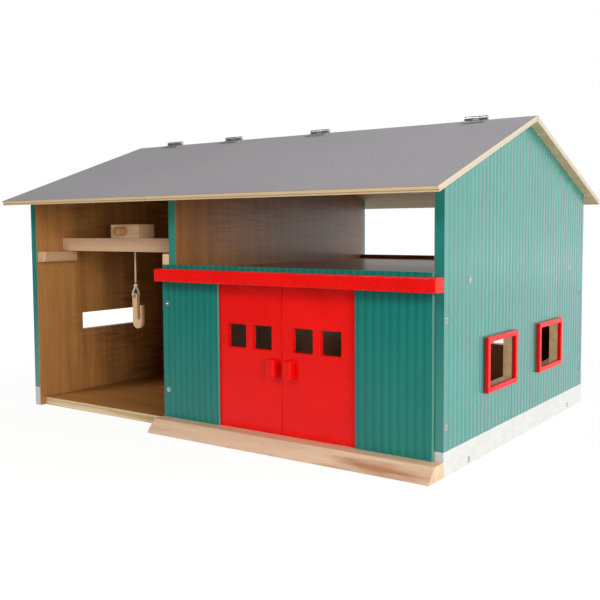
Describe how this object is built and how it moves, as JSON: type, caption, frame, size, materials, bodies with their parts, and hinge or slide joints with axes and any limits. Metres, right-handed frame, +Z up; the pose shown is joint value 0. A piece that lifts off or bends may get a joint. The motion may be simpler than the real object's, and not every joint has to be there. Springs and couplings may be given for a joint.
{
  "type": "toy barn",
  "caption": "Wooden toy barn with sliding door leaves, an open loft, an open bay with a rope crane, and a roof that lifts as hinged lids.",
  "frame": {"origin": "on the ground under the middle of the roof", "axes": "+X along the front to the right as seen from the front, +Y from front to back, +Z up"},
  "size_m": [0.545, 0.42, 0.3153],
  "materials": {
    "ribbed_teal_paint": "satin teal paint on ribbed board, white plinth band",
    "oak_veneer": "satin brown wood veneer",
    "grey_roof_laminate": "satin grey laminate on board",
    "red_paint": "semi-gloss red paint",
    "bare_beech": "sanded bare beech",
    "zinc_plated_steel": "zinc plated",
    "cotton_rope": "twisted cotton"
  },
  "bodies": {
    "barn": {"floor_board": "oak_veneer", "left_gable": "ribbed_teal_paint", "right_gable": "ribbed_teal_paint", "partition_wall": "oak_veneer", "rear_wall_tall": "ribbed_teal_paint", "rear_wall_low": "ribbed_teal_paint", "loft_floor": "oak_veneer", "rear_roof": "grey_roof_laminate", "front_sheet": "ribbed_teal_paint", "front_rail": "red_paint", "threshold": "bare_beech", "left_door_post": "bare_beech", "right_door_post": "bare_beech", "door_top_guide": "bare_beech", "side_window_frame_front": "red_paint", "side_window_frame_rear": "red_paint", "rear_window_frame_left": "red_paint", "rear_window_frame_right": "red_paint", "crane_cleat_left": "bare_beech", "crane_cleat_right": "bare_beech", "wall_screws": "zinc_plated_steel", "hinge_1_fixed_leaf": "zinc_plated_steel", "hinge_2_fixed_leaf": "zinc_plated_steel", "hinge_3_fixed_leaf": "zinc_plated_steel", "hinge_4_fixed_leaf": "zinc_plated_steel", "hinge_1_pin": "zinc_plated_steel", "hinge_2_pin": "zinc_plated_steel", "hinge_3_pin": "zinc_plated_steel", "hinge_4_pin": "zinc_plated_steel", "fixed_leaf_screws": "zinc_plated_steel"},
    "lid_left": {"roof_lid_left": "grey_roof_laminate", "hinge_1_lid_leaf": "zinc_plated_steel", "hinge_2_lid_leaf": "zinc_plated_steel", "left_lid_screws": "zinc_plated_steel"},
    "lid_right": {"roof_lid_right": "grey_roof_laminate", "hinge_3_lid_leaf": "zinc_plated_steel", "hinge_4_lid_leaf": "zinc_plated_steel", "right_lid_screws": "zinc_plated_steel"},
    "leaf_left": {"door_left": "red_paint", "door_left_handle": "red_paint", "door_left_screw": "zinc_plated_steel"},
    "leaf_right": {"door_right": "red_paint", "door_right_handle": "red_paint", "door_right_screw": "zinc_plated_steel"},
    "crane": {"crane_beam": "bare_beech", "winder_block": "bare_beech"},
    "winder": {"winder_shaft": "bare_beech", "winder_knob": "bare_beech", "winder_end_disc": "bare_beech", "rope_winding": "cotton_rope"},
    "rope": {"hoist_rope": "cotton_rope"},
    "hook": {"crane_hook": "bare_beech", "rope_loop": "cotton_rope", "rope_knot": "cotton_rope"}
  },
  "joints": [
    {"name": "door_left_slide", "type": "slide", "parent": "barn", "child": "leaf_left", "axis": [-1, 0, 0], "range_m": [0, 0.0505]},
    {"name": "door_right_slide", "type": "slide", "parent": "barn", "child": "leaf_right", "axis": [1, 0, 0], "range_m": [0, 0.062]},
    {"name": "roof_lid_left_hinge", "type": "hinge", "parent": "barn", "child": "lid_left", "pos_m": [-0.16, 0, 0.3133], "axis": [-1, 0, 0], "range_deg": [0, 218]},
    {"name": "roof_lid_right_hinge", "type": "hinge", "parent": "barn", "child": "lid_right", "pos_m": [0.113, 0, 0.3133], "axis": [-1, 0, 0], "range_deg": [0, 218]},
    {"name": "crane_slide", "type": "slide", "parent": "barn", "child": "crane", "axis": [0, -1, 0], "range_m": [0, 0.034]},
    {"name": "winder_turn", "type": "hinge", "parent": "crane", "child": "winder", "pos_m": [-0.146, -0.1385, 0.201], "axis": [0, 1, 0], "range_deg": [-1092, 546]},
    {"name": "hook_swing", "type": "hinge", "parent": "crane", "child": "rope", "pos_m": [-0.1505, -0.126, 0.201], "axis": [0, 1, 0], "range_deg": [-15, 15]},
    {"name": "hook_hoist", "type": "slide", "parent": "rope", "child": "hook", "axis": [0, 0, 1], "range_m": [-0.08, 0.04], "deforming": ["hoist_rope"]}
  ],
  "couplings": [
    {"joint": "winder_turn", "follows": "hook_hoist", "rad_per_m": 238.1}
  ]
}
